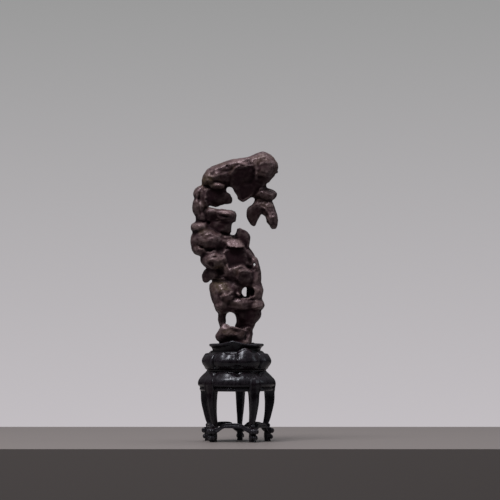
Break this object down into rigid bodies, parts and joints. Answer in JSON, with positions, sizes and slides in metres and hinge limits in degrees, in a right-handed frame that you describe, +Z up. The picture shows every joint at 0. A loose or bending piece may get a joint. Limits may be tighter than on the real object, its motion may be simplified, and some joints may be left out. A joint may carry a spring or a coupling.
{
  "type": "scholars rock",
  "caption": "Upright pierced scholar's rock with an overhanging crest, standing in the collar of a lobed, carved round wooden stand on curved legs.",
  "frame": {"origin": "on the surface it stands on, under the middle of the whole object", "axes": "+Z up, -Y towards the front, +X to the viewer's right, the side the crest overhangs"},
  "size_m": [0.0702, 0.0621, 0.2315],
  "materials": {
    "stone": "waxed natural stone",
    "lacquered_wood": "dark lacquered hardwood"
  },
  "bodies": {
    "root": {"rock": "stone", "seat_collar": "lacquered_wood", "drum": "lacquered_wood", "apron_ring": "lacquered_wood", "leg_1": "lacquered_wood", "leg_2": "lacquered_wood", "leg_3": "lacquered_wood", "leg_4": "lacquered_wood", "leg_5": "lacquered_wood", "stretcher_1": "lacquered_wood", "stretcher_2": "lacquered_wood", "stretcher_3": "lacquered_wood", "stretcher_4": "lacquered_wood", "stretcher_5": "lacquered_wood"}
  },
  "joints": []
}
